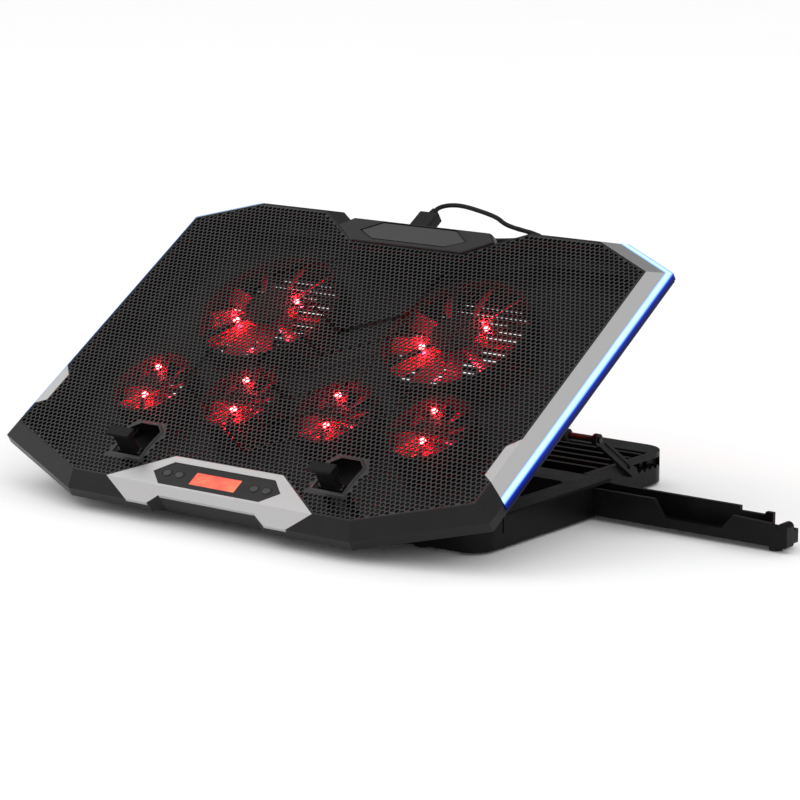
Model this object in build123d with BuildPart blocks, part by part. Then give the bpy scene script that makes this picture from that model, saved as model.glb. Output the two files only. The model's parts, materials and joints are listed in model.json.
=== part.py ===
"""Laptop cooling pad with six fans, a hinged stand, laptop stops and two pull-out phone arms.

World frame: +X to the user's right, +Y away from the user, +Z up, millimetres, table at Z = 0.
The pad itself is laid out in its own tilted frame: u along X, v up the slope, n out of the top face.
"""
from build123d import *
from math import asin, atan2, cos, degrees, hypot, radians, sin, sqrt
import os

os.makedirs("parts", exist_ok=True)

# ---------------------------------------------------------------- driving dimensions
# stand position and pad tilt
tilt = 32.5
hinge_y = -79.72
hinge_z = 19.0
ref_v = 51.3
ref_n = 39.6

# pad shell, depths are measured down from the top face
bevel_depth = 8.5
wall_depth = 15.2
floor_depth = 24.0
skin = 2.0
lip = 3.2
mesh_top = 0.2
mesh_thick = 1.0
ledge = 1.35
side_u = 183.3
side_step = 10.5
corner_step = 13.5
trim_share = 0.75
trim_depth = 2.0
bar_proud = 0.8
bar_depth = 13.6

# fans
large_fan_u = 76.0
large_fan_v = 72.0
large_fan_r = 47.0
small_fan_pitch = 74.5
small_fan_v = -14.0
small_fan_r = 25.0
fan_bottom = 22.0

# front control panel
panel_v = -90.0
panel_thick = 3.4
panel_top = 0.6
lcd_u = -1.0
lcd_v = panel_v - 0.8
lcd_length = 36.4
lcd_width = 10.6
button_length = 6.4
button_width = 4.6
button_gap = 0.1
button_travel = 0.8
button_rim = 0.8
button_rim_height = 0.3
board_depth = 11.0
board_thick = 1.6

# flip-up laptop stops
stop_u = 81.0
stop_v = -77.0
stop_axis_depth = 2.0
stop_height = 16.5
stop_width = 14.0

# base
base_bottom = 2.0
base_top = 22.5
base_half = 166.0
deck_half = 147.5
rail_width = 18.0
base_wall = 2.2
deck_end = 226.0
rib_pitch = 12.5
rib_count = 5

# phone arms
arm_front = 108.5
arm_width = 20.0
arm_low = 3.5
arm_high = 20.5
arm_inner = 144.0
arm_outer = 305.0
arm_wall = 2.8
arm_gap = 0.2

# prop: legs hinged under the pad, crossbar, and two stays that slide in the base
prop_u = 100.0
prop_v = 40.0
prop_depth = 29.5
bar_d = 137.0
bar_z = 44.0
bar_radius = 2.0
stay_length = 49.0
stay_x = 148.0
stay_thick = 3.5
slot_z = 16.0

pin_radius = 2.0
running = 0.05

# ---------------------------------------------------------------- frames and helpers
slope_cos = cos(radians(tilt))
slope_sin = sin(radians(tilt))
pad_y = hinge_y + ref_v * slope_cos - ref_n * slope_sin
pad_z = hinge_z + ref_v * slope_sin + ref_n * slope_cos
pad = Plane(origin=(0, pad_y, pad_z), x_dir=(1, 0, 0), z_dir=(0, -slope_sin, slope_cos))


def deep(depth):
    """The plane parallel to the pad's top face, depth below it."""
    return pad.offset(-depth)


def across(u):
    """The pad's cross-section plane at u, with sketch axes v and n."""
    return Plane(origin=pad.origin + Vector(u, 0, 0), x_dir=pad.y_dir, z_dir=(1, 0, 0))


def upright(x):
    """The vertical plane at x, with sketch axes Y and Z."""
    return Plane(origin=(x, 0, 0), x_dir=(0, 1, 0), z_dir=(1, 0, 0))


def both_sides(points):
    """A closed outline from its right half, listed from front to rear."""
    return points + [(-u, v) for u, v in reversed(points)]


def grown(points, amounts):
    """A closed outline whose edge i, from point i to the next, is moved outward by amounts[i]."""
    lines = []
    for start, end, amount in zip(points, points[1:] + points[:1], amounts):
        run = end[0] - start[0]
        rise = end[1] - start[1]
        span = hypot(run, rise)
        normal = (rise / span, -run / span)
        lines.append((normal, normal[0] * start[0] + normal[1] * start[1] + amount))
    corners = []
    for (a, p), (b, q) in zip([lines[-1]] + lines[:-1], lines):
        cross = a[0] * b[1] - a[1] * b[0]
        corners.append(((p * b[1] - q * a[1]) / cross, (a[0] * q - b[0] * p) / cross))
    return corners


def evenly(points, amount):
    """A closed outline grown by one amount all round."""
    return grown(points, [amount] * len(points))


# ---------------------------------------------------------------- pad outlines, in u and v
crease = both_sides([
    (111, -101.4), (side_u, -71.3), (side_u, 138), (137, 160), (83.5, 160), (63.5, 146.8), (55.5, 155.3),
])
bevel_steps = [9, side_step, corner_step, 9, 10.5, 1.5, 5, 1.5, 10.5, 9, corner_step, side_step, 9, 9]
rim = grown(crease, bevel_steps)
opening = both_sides([
    (43, -76), (82.6, -100.6), (110.8, -100.6), (182.2, -70.7), (182.2, -52), (176, -48),
    (176, -23.4), (182.2, -16.6), (182.2, 137.7), (137.3, 159), (83.9, 159), (45.2, 133.4),
])
# the silver trim covers the upper share of the side bevel, and the light bar covers the rest
trim_edge = grown(crease, [trim_share * step for step in bevel_steps])
bar_edge = grown(rim, [bar_proud] * len(rim))
trim_outline = [
    (176, -48), (182.2, -52), (trim_edge[1][0], -58.1), trim_edge[2], trim_edge[3],
    crease[3], crease[2], (side_u, -15.6), (182.2, -16.6), (176, -23.4),
]
light_outline = [
    (trim_edge[1][0], -58.1), (bar_edge[1][0], -60.6), bar_edge[2], bar_edge[3], trim_edge[3], trim_edge[2],
]
# the front edge steps back between the two ends of the nose
nose_recess = both_sides([(47, -120), (47, -111.5), (38, -106)])
nose_outline = both_sides([(38, -106), (49, -111.5), (62, -111.5), (82.4, -101.5), (43, -76)])
panel_outline = both_sides([(40.3, -100.2), (51, -90.8), (40.3, -80.9)])
stop_opening = both_sides([(11.5, -82), (11.5, -70), (12.5, -59.5), (7, -54.5)])
block_outline = both_sides([(45, 133.8), (62.8, 146.9), (55, 154.9)])
badge_outline = both_sides([(30, 137.5), (42, 144), (29.6, 152.8)])

button_us = {"fan_down_button": -40.5, "fan_up_button": -30.7, "light_button": 29.4, "power_button": 39.2}
fan_spots = {"left_large_fan": (-large_fan_u, large_fan_v), "right_large_fan": (large_fan_u, large_fan_v)}
for place, name in enumerate(["outer_left_fan", "inner_left_fan", "inner_right_fan", "outer_right_fan"]):
    fan_spots[name] = ((place - 1.5) * small_fan_pitch, small_fan_v)
screw_half = [(178, -40), (178, 45), (178, 120), (35, 145), (58, -92)]
screw_spots = [(side * u, v) for u, v in screw_half for side in (-1, 1)]


def fan_size(name):
    """Blade radius, spider depth below the top face, and blade count of a fan."""
    if "large" in name:
        return large_fan_r, 8.0, 11
    return small_fan_r, 4.0, 9


def lamp_offsets(name):
    """Places of a fan's two lamps from the fan's centre."""
    if "large" in name:
        return [(20.4, 6.0), (-14.6, -17.8)]
    return [(-4.0, 13.0), (4.0, -13.0)]


def spider_turns(name):
    """Directions of a fan's spider arms in degrees; its lamps sit on two of them."""
    first, last = [degrees(atan2(v, u)) for u, v in lamp_offsets(name)]
    if "large" in name:
        return [first, (first + last % 360) / 2, last]
    return [first, first + 90, last, last + 90]


# ---------------------------------------------------------------- top bezel and what it carries
wall_steps = [-2.5, -4.6, -4.6, -2.5, -2.5, -2.5, -2.5, -2.5, -2.5, -2.5, -4.6, -4.6, -2.5, -7.0]
with BuildPart() as pad_form:
    with BuildSketch(pad):
        Polygon(*crease, align=None)
    with BuildSketch(deep(bevel_depth)):
        Polygon(*rim, align=None)
    loft(ruled=True)
    with BuildSketch(deep(wall_depth)):
        Polygon(*rim, align=None)
    extrude(amount=wall_depth - bevel_depth)
    with BuildSketch(deep(wall_depth)):
        Polygon(*nose_recess, align=None)
    extrude(amount=wall_depth, mode=Mode.SUBTRACT)

with BuildPart() as front_trim:
    with BuildSketch(deep(wall_depth)):
        Polygon(*nose_outline, align=None)
        Polygon(*panel_outline, align=None, mode=Mode.SUBTRACT)
    extrude(amount=wall_depth)
    add(pad_form.part, mode=Mode.INTERSECT)
    add(pad_form.part.moved(Location(-trim_depth * pad.z_dir)), mode=Mode.SUBTRACT)
front_trim.part.label = "front_trim"
export_step(front_trim.part, "parts/front_trim.step")

with BuildPart() as right_side_trim:
    with BuildSketch(deep(wall_depth)):
        Polygon(*trim_outline, align=None)
    extrude(amount=wall_depth)
    add(pad_form.part, mode=Mode.INTERSECT)
    add(pad_form.part.moved(Location(-trim_depth * pad.z_dir)), mode=Mode.SUBTRACT)
with BuildPart() as left_side_trim:
    add(mirror(right_side_trim.part, about=Plane.YZ, mode=Mode.PRIVATE))
right_side_trim.part.label = "right_side_trim"
export_step(right_side_trim.part, "parts/right_side_trim.step")
left_side_trim.part.label = "left_side_trim"
export_step(left_side_trim.part, "parts/left_side_trim.step")

with BuildPart() as right_light_bar:
    with BuildSketch(pad.offset(0.5)):
        Polygon(*crease, align=None)
    with BuildSketch(deep(bevel_depth + 0.3)):
        Polygon(*bar_edge, align=None)
    loft(ruled=True)
    with BuildSketch(deep(bar_depth)):
        Polygon(*bar_edge, align=None)
    extrude(amount=bar_depth - bevel_depth - 0.3)
    with BuildSketch(deep(bar_depth)):
        Polygon(*light_outline, align=None)
    extrude(amount=bar_depth, mode=Mode.INTERSECT)
with BuildPart() as left_light_bar:
    add(mirror(right_light_bar.part, about=Plane.YZ, mode=Mode.PRIVATE))
right_light_bar.part.label = "right_light_bar"
export_step(right_light_bar.part, "parts/right_light_bar.step")
left_light_bar.part.label = "left_light_bar"
export_step(left_light_bar.part, "parts/left_light_bar.step")

with BuildPart() as top_bezel:
    add(pad_form.part)
    with BuildSketch(deep(wall_depth)):
        Polygon(*grown(rim, wall_steps), align=None)
    extrude(amount=wall_depth - bevel_depth - 0.5, mode=Mode.SUBTRACT)
    with BuildSketch(deep(bevel_depth + 0.5)):
        Polygon(*evenly(crease, -2.5), align=None)
    extrude(amount=bevel_depth + 0.5 - lip, mode=Mode.SUBTRACT)
    with BuildSketch(deep(lip)):
        Polygon(*evenly(opening, -3.5), align=None)
    extrude(amount=lip, mode=Mode.SUBTRACT)
    with BuildSketch(deep(ledge)):
        Polygon(*opening, align=None)
    extrude(amount=ledge, mode=Mode.SUBTRACT)
    for side in (1, -1):
        with BuildSketch(deep(bar_depth)):
            Polygon(*[(side * u, v) for u, v in light_outline], align=None)
        extrude(amount=bar_depth, mode=Mode.SUBTRACT)
    with BuildSketch(deep(panel_top + panel_thick + 0.2)):
        Polygon(*panel_outline, align=None)
    extrude(amount=wall_depth, mode=Mode.SUBTRACT)
    with BuildSketch(deep(wall_depth)):
        with Locations(*screw_spots):
            Circle(3.2)
            Circle(1.2, mode=Mode.SUBTRACT)
    extrude(amount=wall_depth - lip)
    for socket_u in (-12, 12):
        with BuildSketch(deep(14.5)):
            with Locations((socket_u, 157)):
                Rectangle(13.4, 12)
        extrude(amount=6.2, mode=Mode.SUBTRACT)
    add(front_trim.part, mode=Mode.SUBTRACT)
    add(right_side_trim.part, mode=Mode.SUBTRACT)
    add(left_side_trim.part, mode=Mode.SUBTRACT)
top_bezel.part.label = "top_bezel"
export_step(top_bezel.part, "parts/top_bezel.step")

with BuildPart() as mesh_panel:
    with BuildSketch(deep(mesh_top + mesh_thick)):
        Polygon(*evenly(opening, -0.15), align=None)
        for side in (1, -1):
            Polygon(*[(u + side * stop_u, v) for u, v in stop_opening], align=None, mode=Mode.SUBTRACT)
    extrude(amount=mesh_thick)
mesh_panel.part.label = "mesh_panel"
export_step(mesh_panel.part, "parts/mesh_panel.step")

block_height = 1.4
badge_seat = 0.4
with BuildPart() as rear_block:
    with BuildSketch(pad):
        Polygon(*block_outline, align=None)
    extrude(amount=block_height)
    chamfer(rear_block.faces().sort_by(Axis(pad.origin, pad.z_dir))[-1].edges(), length=0.6)
    with BuildSketch(pad.offset(badge_seat)):
        Polygon(*evenly(badge_outline, 1.0), align=None)
    extrude(amount=block_height, mode=Mode.SUBTRACT)
rear_block.part.label = "rear_block"
export_step(rear_block.part, "parts/rear_block.step")

with BuildPart() as badge_plate:
    with BuildSketch(pad.offset(badge_seat)):
        Polygon(*badge_outline, align=None)
    extrude(amount=0.9)
    chamfer(badge_plate.faces().sort_by(Axis(pad.origin, pad.z_dir))[-1].edges(), length=0.3)
badge_plate.part.label = "badge_plate"
export_step(badge_plate.part, "parts/badge_plate.step")

# ---------------------------------------------------------------- control panel
with BuildPart() as control_panel:
    with BuildSketch(deep(panel_top + panel_thick)):
        Polygon(*evenly(panel_outline, -0.15), align=None)
        with Locations((lcd_u, lcd_v)):
            Rectangle(lcd_length, lcd_width, mode=Mode.SUBTRACT)
        with Locations(*[(u, panel_v) for u in button_us.values()]):
            SlotOverall(button_length + 2 * button_gap, button_width + 2 * button_gap, mode=Mode.SUBTRACT)
    extrude(amount=panel_thick)
    with BuildSketch(deep(panel_top)):
        with Locations(*[(u, panel_v) for u in button_us.values()]):
            SlotOverall(button_length + 2 * button_rim, button_width + 2 * button_rim)
            SlotOverall(button_length + 2 * button_gap, button_width + 2 * button_gap, mode=Mode.SUBTRACT)
    extrude(amount=button_rim_height)
    with BuildSketch(deep(board_depth - board_thick)):
        with Locations(*[(u, panel_v) for u in (-46.2, -23.8, 23.8, 46.2)]):
            Circle(1.3)
    extrude(amount=board_depth - board_thick - panel_top - panel_thick)
control_panel.part.label = "control_panel"
export_step(control_panel.part, "parts/control_panel.step")

with BuildPart() as display_window:
    with BuildSketch(deep(3.6)):
        with Locations((lcd_u, lcd_v)):
            RectangleRounded(lcd_length - 0.2, lcd_width - 0.2, 0.6)
    extrude(amount=2.8)
display_window.part.label = "display_window"
export_step(display_window.part, "parts/display_window.step")

with BuildPart() as display_module:
    with BuildSketch(deep(8.8)):
        with Locations((lcd_u, lcd_v)):
            Rectangle(lcd_length + 3, lcd_width + 2)
    extrude(amount=4.4)
display_module.part.label = "display_module"
export_step(display_module.part, "parts/display_module.step")

button_rise = 0.4
flange_top = panel_top + panel_thick + 0.3
for name, button_u in button_us.items():
    with BuildPart() as button:
        with BuildSketch(deep(flange_top)):
            with Locations((button_u, panel_v)):
                SlotOverall(button_length, button_width)
        extrude(amount=flange_top + button_rise - panel_top)
        fillet(button.faces().sort_by(Axis(pad.origin, pad.z_dir))[-1].edges(), radius=0.5)
        with BuildSketch(deep(flange_top + 0.7)):
            with Locations((button_u, panel_v)):
                SlotOverall(button_length + 1.6, button_width + 1.6)
        extrude(amount=0.7)
        with BuildSketch(deep(flange_top + 1.9)):
            with Locations((button_u, panel_v)):
                Circle(1.2)
        extrude(amount=1.2)
    button.part.label = name
    export_step(button.part, "parts/" + name + ".step")

with BuildPart() as control_board:
    with BuildSketch(deep(board_depth)):
        with Locations((0, panel_v - 0.2)):
            Rectangle(96, 17)
    extrude(amount=board_thick)
    with BuildSketch(deep(board_depth - board_thick)):
        with Locations(*[(u, panel_v) for u in button_us.values()]):
            Rectangle(5.2, 5.2)
    extrude(amount=board_depth - board_thick - flange_top - 1.9 - button_travel - 0.2)
control_board.part.label = "control_board"
export_step(control_board.part, "parts/control_board.step")

# ---------------------------------------------------------------- laptop stops
stop_axis_n = -stop_axis_depth
for side_name, side in (("left", -1), ("right", 1)):
    with BuildPart() as stop:
        with BuildSketch(across(side * stop_u)):
            with Locations((stop_v, stop_axis_n)):
                Circle(2.4)
            Polygon(
                (stop_v - 1.9, stop_axis_n), (stop_v + 1.6, stop_axis_n), (stop_v + 1.2, stop_height - 4),
                (stop_v + 2.6, stop_height), (stop_v - 4.6, stop_height), (stop_v - 4.6, stop_height - 2),
                (stop_v - 1.9, stop_height - 5), align=None)
        extrude(amount=stop_width / 2, both=True)
        with BuildSketch(across(side * stop_u)):
            Polygon(
                (stop_v - 0.9, stop_height - 4), (stop_v + 1.2, stop_height - 4), (stop_v + 2.6, stop_height),
                (stop_v - 4.6, stop_height), (stop_v - 4.6, stop_height - 2), align=None)
        extrude(amount=stop_width / 2 + 2.4, both=True)
        with BuildSketch(across(side * stop_u)):
            with Locations((stop_v, stop_axis_n)):
                Circle(1 + running)
        extrude(amount=stop_width, both=True, mode=Mode.SUBTRACT)
    stop.part.label = side_name + "_laptop_stop"
    export_step(stop.part, "parts/" + side_name + "_laptop_stop.step")

ear_start = stop_width / 2 + 0.3
with BuildPart() as stop_brackets:
    for side in (-1, 1):
        for ear in (-1, 1):
            ear_u = side * stop_u + ear * (ear_start + 1)
            with BuildSketch(across(ear_u)):
                with Locations((stop_v, stop_axis_n)):
                    Circle(2.6)
                with Locations((stop_v, (stop_axis_n - 22) / 2)):
                    Rectangle(5.2, 22 + stop_axis_n)
                with Locations((stop_v, stop_axis_n)):
                    Circle(1, mode=Mode.SUBTRACT)
            extrude(amount=1, both=True)
        with BuildSketch(deep(22)):
            with Locations((side * stop_u, stop_v)):
                Rectangle(2 * ear_start + 4, 9)
        extrude(amount=1.6)
stop_brackets.part.label = "stop_brackets"
export_step(stop_brackets.part, "parts/stop_brackets.step")

with BuildPart() as stop_pins:
    for side in (-1, 1):
        with BuildSketch(across(side * stop_u)):
            with Locations((stop_v, stop_axis_n)):
                Circle(1)
        extrude(amount=ear_start + 2, both=True)
stop_pins.part.label = "stop_pins"
export_step(stop_pins.part, "parts/stop_pins.step")

# ---------------------------------------------------------------- bottom shell
tilt_lug_x = 141.0
tilt_lug_width = 12.0
prop_lug_width = 4.0
leg_width = 9.6
with BuildPart() as bottom_shell:
    with BuildSketch(deep(wall_depth)):
        Polygon(*evenly(rim, -1), align=None)
    with BuildSketch(deep(floor_depth)):
        Polygon(*evenly(rim, -11), align=None)
    loft(ruled=True)
    with BuildSketch(deep(wall_depth)):
        Polygon(*grown(rim, [-3.6] * (len(rim) - 1) + [-8.0]), align=None)
    with BuildSketch(deep(floor_depth - skin)):
        Polygon(*evenly(rim, -13.4), align=None)
    loft(ruled=True, mode=Mode.SUBTRACT)
    with BuildSketch(deep(floor_depth)):
        Polygon(*evenly(nose_recess, 1), align=None)
    extrude(amount=floor_depth - wall_depth, mode=Mode.SUBTRACT)
    for name, spot in fan_spots.items():
        radius, spider, blades = fan_size(name)
        slot_count = int(2 * (radius - 4) / 6.5)
        with BuildSketch(deep(floor_depth)):
            for row in range(slot_count):
                offset_v = (row - (slot_count - 1) / 2) * 6.5
                chord = 2 * sqrt(radius ** 2 - offset_v ** 2) - 5
                with Locations((spot[0], spot[1] + offset_v)):
                    SlotOverall(chord, 2.8)
        extrude(amount=skin, mode=Mode.SUBTRACT)
    for side in (-1, 1):
        with BuildSketch(across(side * tilt_lug_x)):
            with Locations((-ref_v, -ref_n)):
                Circle(6.4)
            Polygon((-ref_v - 6.4, -ref_n), (-ref_v + 6.4, -ref_n), (-ref_v + 9, 0.1 - floor_depth),
                    (-ref_v - 9, 0.1 - floor_depth), align=None)
            with Locations((-ref_v, -ref_n)):
                Circle(pin_radius + running, mode=Mode.SUBTRACT)
        extrude(amount=tilt_lug_width / 2, both=True)
        for lug in (-1, 1):
            lug_u = side * prop_u + lug * (leg_width / 2 + 0.2 + prop_lug_width / 2)
            with BuildSketch(across(lug_u)):
                with Locations((prop_v, -prop_depth)):
                    Circle(3.4)
                with Locations((prop_v, (0.1 - floor_depth - prop_depth) / 2)):
                    Rectangle(6.8, prop_depth - floor_depth + 0.1)
                with Locations((prop_v, -prop_depth)):
                    Circle(1.5, mode=Mode.SUBTRACT)
            extrude(amount=prop_lug_width / 2, both=True)
    with BuildSketch(deep(floor_depth)):
        with Locations(*screw_spots):
            Circle(4.2)
    extrude(amount=floor_depth - wall_depth)
    with BuildSketch(deep(floor_depth)):
        with Locations(*screw_spots):
            Circle(1.7)
    extrude(amount=floor_depth - wall_depth, mode=Mode.SUBTRACT)
    with BuildSketch(deep(floor_depth)):
        with Locations(*screw_spots):
            Circle(3)
    extrude(amount=3, mode=Mode.SUBTRACT)
bottom_shell.part.label = "bottom_shell"
export_step(bottom_shell.part, "parts/bottom_shell.step")

with BuildPart() as shell_screws:
    with BuildSketch(deep(floor_depth - 0.8)):
        with Locations(*screw_spots):
            Circle(2.6)
            RegularPolygon(1.1, 6, mode=Mode.SUBTRACT)
    extrude(amount=2.2)
    with BuildSketch(deep(floor_depth - 3)):
        with Locations(*screw_spots):
            Circle(1.2)
    extrude(amount=14)
shell_screws.part.label = "shell_screws"
export_step(shell_screws.part, "parts/shell_screws.step")

# ---------------------------------------------------------------- fans
shaft_radius = 1.5
for name, spot in fan_spots.items():
    radius, spider, blades = fan_size(name)
    hub = radius * 0.36
    ring = radius + 1.6
    with BuildPart() as housing:
        with BuildSketch(deep(fan_bottom)):
            with Locations(spot):
                Circle(ring + 2.2)
                Circle(ring, mode=Mode.SUBTRACT)
        extrude(amount=fan_bottom - spider)
        with BuildSketch(deep(spider + 1.8)):
            with Locations(spot):
                Circle(hub)
                for turn in spider_turns(name):
                    with PolarLocations(ring / 2 + 1, 1, start_angle=turn):
                        Rectangle(ring + 0.4, 3.2)
        extrude(amount=1.8)
        with BuildSketch(deep(fan_bottom - 1.5)):
            with Locations(spot):
                Circle(shaft_radius)
        extrude(amount=fan_bottom - 3 - spider)
        with BuildSketch(deep(fan_bottom)):
            with Locations(spot):
                with PolarLocations(ring + 4.2, 4, start_angle=0):
                    Circle(3.6)
                with PolarLocations(ring + 4.4, 4, start_angle=0):
                    Circle(1.6, mode=Mode.SUBTRACT)
        extrude(amount=3)
    housing.part.label = name + "_housing"
    export_step(housing.part, "parts/" + name + "_housing.step")

    blade_low = fan_bottom - 0.8
    blade_high = spider + 3.0
    blade_mid = (blade_low + blade_high) / 2
    blade_run = (blade_low - blade_high) * 0.95
    with BuildPart() as rotor:
        with BuildSketch(deep(blade_low)):
            with Locations(spot):
                Circle(hub - 0.6)
        extrude(amount=blade_low - spider - 2.2)
        for blade in range(blades):
            turn = radians(360 / blades * blade)
            outward = pad.x_dir * cos(turn) + pad.y_dir * sin(turn)
            around = pad.y_dir * cos(turn) - pad.x_dir * sin(turn)
            centre = pad.from_local_coords(Vector(spot[0], spot[1], -blade_mid))
            for reach, pitch, chord, thick in ((hub - 1.6, 48, 0.9, 1.3), (radius, 30, 1.25, 1.0)):
                chord_dir = around * cos(radians(pitch)) - pad.z_dir * sin(radians(pitch))
                with BuildSketch(Plane(origin=centre + outward * reach, x_dir=chord_dir, z_dir=outward)):
                    Rectangle(blade_run * chord, thick)
            loft()
        with BuildSketch(deep(blade_low + 1)):
            with Locations(spot):
                Circle(shaft_radius + running)
        extrude(amount=fan_bottom, mode=Mode.SUBTRACT)
    rotor.part.label = name + "_rotor"
    export_step(rotor.part, "parts/" + name + "_rotor.step")

with BuildPart() as fan_lamps:
    for name, spot in fan_spots.items():
        radius, spider, blades = fan_size(name)
        with BuildSketch(deep(spider)):
            with Locations(*[(spot[0] + u, spot[1] + v) for u, v in lamp_offsets(name)]):
                Circle(2.0)
        extrude(amount=1.4)
fan_lamps.part.label = "fan_lamps"
export_step(fan_lamps.part, "parts/fan_lamps.step")

# ---------------------------------------------------------------- light boards, sockets, plug and cable
with BuildPart() as light_boards:
    for side in (-1, 1):
        with BuildSketch(across(side * (rim[1][0] - 5.4))):
            with Locations((38, -12.4)):
                Rectangle(186, 5)
        extrude(amount=0.8, both=True)
light_boards.part.label = "light_boards"
export_step(light_boards.part, "parts/light_boards.step")

socket_depth = 11.4
socket_spots = (-12.0, 12.0)
with BuildPart() as usb_sockets:
    for socket_u in socket_spots:
        with BuildSketch(Plane(origin=pad.from_local_coords((socket_u, 147, -socket_depth)),
                               x_dir=pad.x_dir, z_dir=pad.y_dir)):
            Rectangle(13.2, 5.8)
            Rectangle(12.4, 5.0, mode=Mode.SUBTRACT)
        extrude(amount=13.4)
        with BuildSketch(Plane(origin=pad.from_local_coords((socket_u, 147, -socket_depth)),
                               x_dir=pad.x_dir, z_dir=pad.y_dir)):
            Rectangle(12.8, 5.4)
        extrude(amount=1)
usb_sockets.part.label = "usb_sockets"
export_step(usb_sockets.part, "parts/usb_sockets.step")

plug_u = socket_spots[0]
boot_length = 4.0
plug_base = Plane(origin=pad.from_local_coords((plug_u, 161, -socket_depth)), x_dir=pad.x_dir, z_dir=pad.y_dir)
with BuildPart() as usb_plug:
    with BuildSketch(plug_base):
        RectangleRounded(16, 8, 1.8)
    extrude(amount=18)
    chamfer(usb_plug.faces().sort_by(Axis(pad.origin, pad.y_dir))[-1].edges(), length=1.6)
    with BuildSketch(plug_base.offset(-11)):
        Rectangle(12, 4.5)
    extrude(amount=11)
    with BuildSketch(plug_base.offset(18)):
        Circle(2.9)
    extrude(amount=boot_length, taper=6)
usb_plug.part.label = "usb_plug"
export_step(usb_plug.part, "parts/usb_plug.step")

cable_radius = 1.5
cable_points = [
    (plug_u, 179 + boot_length, -socket_depth), (-8.1, 188.8, -11.4), (-0.3, 190.6, -11.2),
    (18.2, 189.2, -12),
    (37.8, 185, -14), (52.5, 181, -16.5), (67, 178, -21.5), (84, 176, -30),
]
with BuildPart() as usb_cable:
    with BuildLine() as cable_path:
        Spline(*[pad.from_local_coords(point) for point in cable_points],
               tangents=(pad.y_dir, pad.x_dir))
    with BuildSketch(Plane(origin=cable_path.line @ 0, z_dir=cable_path.line % 0)):
        Circle(cable_radius)
    sweep()
usb_cable.part.label = "usb_cable"
export_step(usb_cable.part, "parts/usb_cable.step")

free_base = Plane(origin=cable_path.line @ 1, x_dir=pad.z_dir, z_dir=cable_path.line % 1)
with BuildPart() as laptop_plug:
    with BuildSketch(free_base):
        RectangleRounded(8, 16, 1.8)
    extrude(amount=20)
    chamfer(laptop_plug.edges().filter_by(GeomType.LINE).filter_by(Axis((0, 0, 0), free_base.x_dir)), length=0.6)
    with BuildSketch(free_base.offset(20)):
        Rectangle(4.5, 12)
    extrude(amount=12)
laptop_plug.part.label = "laptop_plug"
export_step(laptop_plug.part, "parts/laptop_plug.step")

# ---------------------------------------------------------------- prop, crossbar and stays
lug_y = pad_y + prop_v * slope_cos + prop_depth * slope_sin
lug_z = pad_z + prop_v * slope_sin - prop_depth * slope_cos
bar_y = hinge_y + bar_d
leg_length = hypot(bar_y - lug_y, bar_z - lug_z)
leg_angle = degrees(atan2(bar_z - lug_z, bar_y - lug_y))


def along_leg(x):
    """The vertical plane at x whose sketch x axis runs down the prop leg from its upper pin."""
    down_leg = (0, cos(radians(leg_angle)), sin(radians(leg_angle)))
    return Plane(origin=(x, lug_y, lug_z), x_dir=down_leg, z_dir=(1, 0, 0))


with BuildPart() as prop_frame:
    for side in (-1, 1):
        with BuildSketch(along_leg(side * prop_u)):
            with Locations((leg_length / 2, 0)):
                Rectangle(leg_length, 5.6)
            Circle(3.0)
            with Locations((leg_length, 0)):
                Circle(4.0)
            Circle(1.5 + running, mode=Mode.SUBTRACT)
        extrude(amount=leg_width / 2, both=True)
    with BuildSketch(along_leg(0)):
        with Locations((leg_length * 0.62, 0)):
            Rectangle(22, 3)
    extrude(amount=prop_u - leg_width / 2 + 1, both=True)
    with BuildSketch(along_leg(0)):
        with Locations((leg_length, 0)):
            Circle(bar_radius)
    extrude(amount=prop_u + leg_width, both=True, mode=Mode.SUBTRACT)
prop_frame.part.label = "prop_frame"
export_step(prop_frame.part, "parts/prop_frame.step")

with BuildPart() as prop_pins:
    for side in (-1, 1):
        with BuildSketch(upright(side * prop_u)):
            with Locations((lug_y, lug_z)):
                Circle(1.5)
        extrude(amount=leg_width / 2 + 0.2 + prop_lug_width, both=True)
prop_pins.part.label = "prop_pins"
export_step(prop_pins.part, "parts/prop_pins.step")

bar_half = stay_x + stay_thick + 1.5
with BuildPart() as crossbar:
    with BuildSketch(upright(0)):
        with Locations((bar_y, bar_z)):
            Circle(bar_radius)
    extrude(amount=bar_half, both=True)
    chamfer(crossbar.edges().filter_by(GeomType.CIRCLE), length=0.4)
crossbar.part.label = "crossbar"
export_step(crossbar.part, "parts/crossbar.step")

with BuildPart() as crossbar_sleeves:
    for side in (-1, 1):
        with BuildSketch(upright(side * 124)):
            with Locations((bar_y, bar_z)):
                Circle(4.2)
                Circle(bar_radius, mode=Mode.SUBTRACT)
        extrude(amount=5, both=True)
    chamfer(crossbar_sleeves.edges().filter_by(GeomType.CIRCLE).sort_by(SortBy.RADIUS)[-4:], length=0.8)
crossbar_sleeves.part.label = "crossbar_sleeves"
export_step(crossbar_sleeves.part, "parts/crossbar_sleeves.step")

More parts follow.
